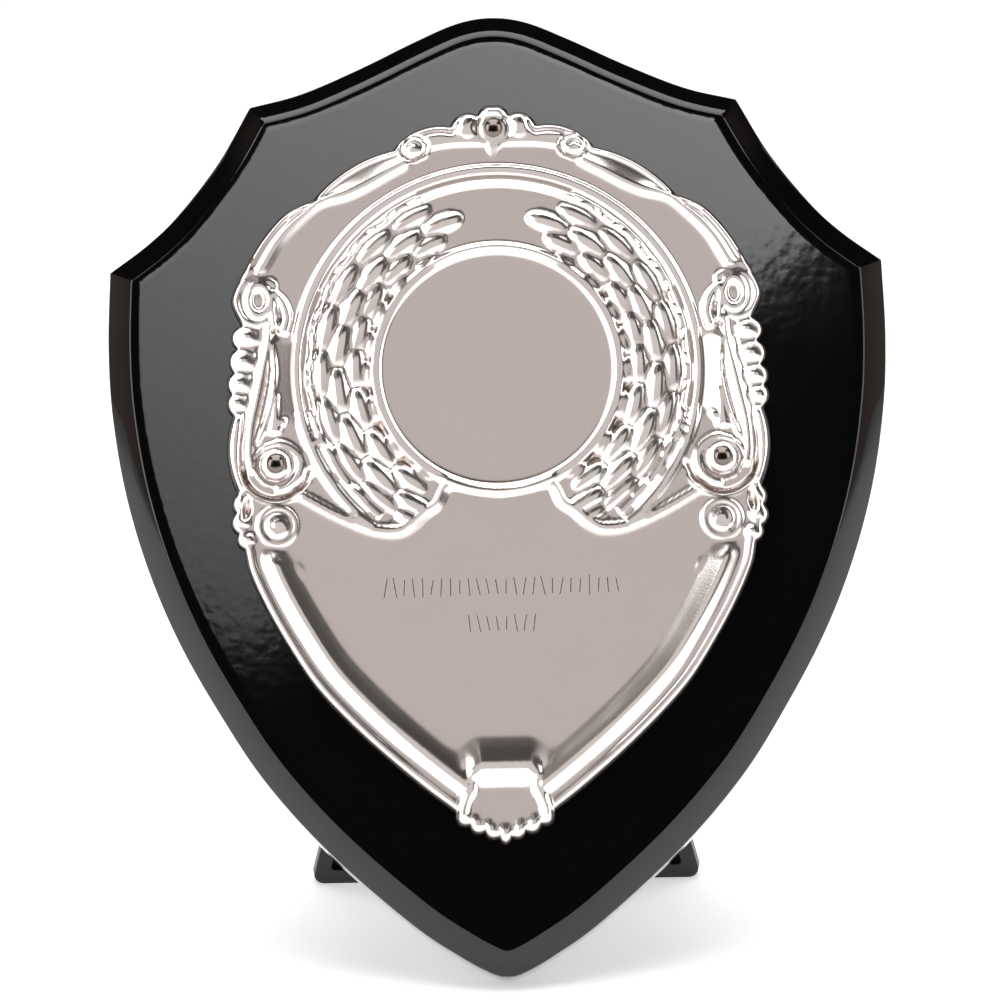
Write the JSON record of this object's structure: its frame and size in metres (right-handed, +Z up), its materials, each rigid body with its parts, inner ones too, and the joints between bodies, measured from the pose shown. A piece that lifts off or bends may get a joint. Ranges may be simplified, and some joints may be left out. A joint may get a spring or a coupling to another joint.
{
  "type": "award shield plaque",
  "caption": "Shield-shaped award plaque: a black gloss chamfered board with a pressed silver relief front, standing on a hinged strut.",
  "frame": {"origin": "centre of the standing plaque's footprint box, on the ground", "axes": "+Z up, -Y toward the viewer of the front, +X to that viewer's right, across the shield"},
  "size_m": [0.161, 0.097, 0.1913],
  "materials": {
    "board": "black gloss lacquer over a smooth board",
    "shield_front": "bright silver finish, satin on the flats, pressed sheet",
    "pins": "nickel plated, domed heads",
    "strut": "black moulded plastic, satin",
    "steel": "zinc plated"
  },
  "bodies": {
    "plaque": {"board": "board", "shield_front": "shield_front", "pin_top": "pins", "pin_left": "pins", "pin_right": "pins", "strut_bracket": "strut", "screw_left": "steel", "screw_right": "steel", "hinge_pin": "steel"},
    "leg": {"strut_leg": "strut"}
  },
  "joints": [
    {"name": "strut_hinge", "type": "hinge", "parent": "plaque", "child": "leg", "pos_m": [0, 0.00911, 0.11063], "axis": [-1, 0, 0], "range_deg": [0, 38]}
  ]
}
